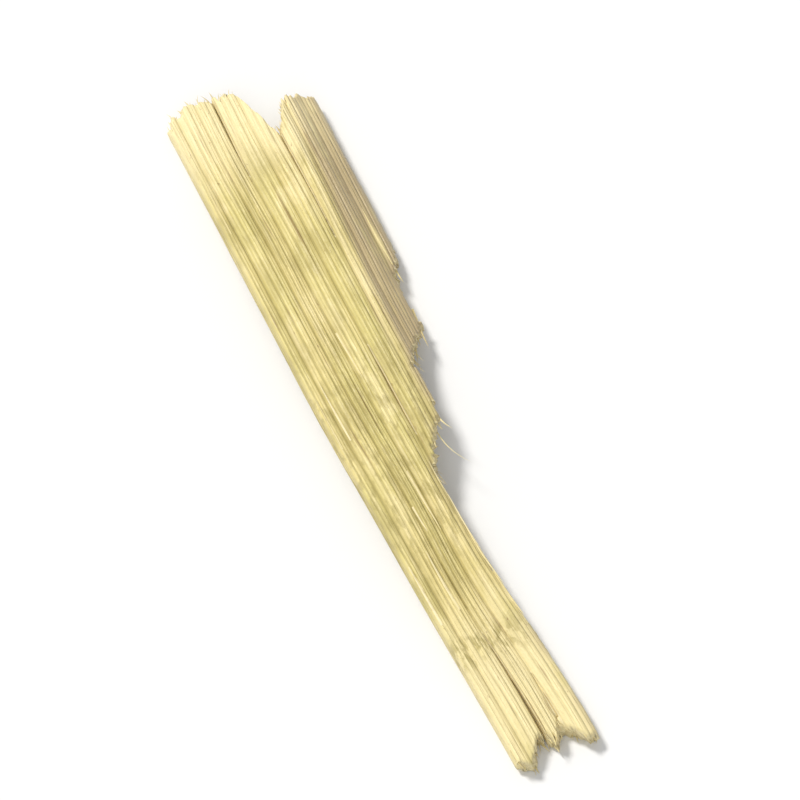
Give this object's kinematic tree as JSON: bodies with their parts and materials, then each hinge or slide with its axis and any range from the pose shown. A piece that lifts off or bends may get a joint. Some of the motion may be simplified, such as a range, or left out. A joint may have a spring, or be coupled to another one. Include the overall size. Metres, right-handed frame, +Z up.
{
  "type": "dried cut lemongrass stalk piece",
  "caption": "Short cut strip of dried lemongrass leaf sheath: lengthwise ribs, a slanting crease, a forked broad end, a margin torn in steps and a ragged narrow end.",
  "frame": {"origin": "centre of the strip's box, on the surface that it lies on", "axes": "+X along the strip from its broad forked end to its narrow end, +Y from the straight margin to the torn margin, +Z up, from the inner face to the ribbed outer face"},
  "size_m": [0.031, 0.006, 0.0019],
  "materials": {
    "dried_sheath": "dried straw-green plant tissue, ribbed along its length, satin outer face, paler cut fibres"
  },
  "bodies": {
    "root": {"stalk_strip": "dried_sheath"}
  },
  "joints": []
}
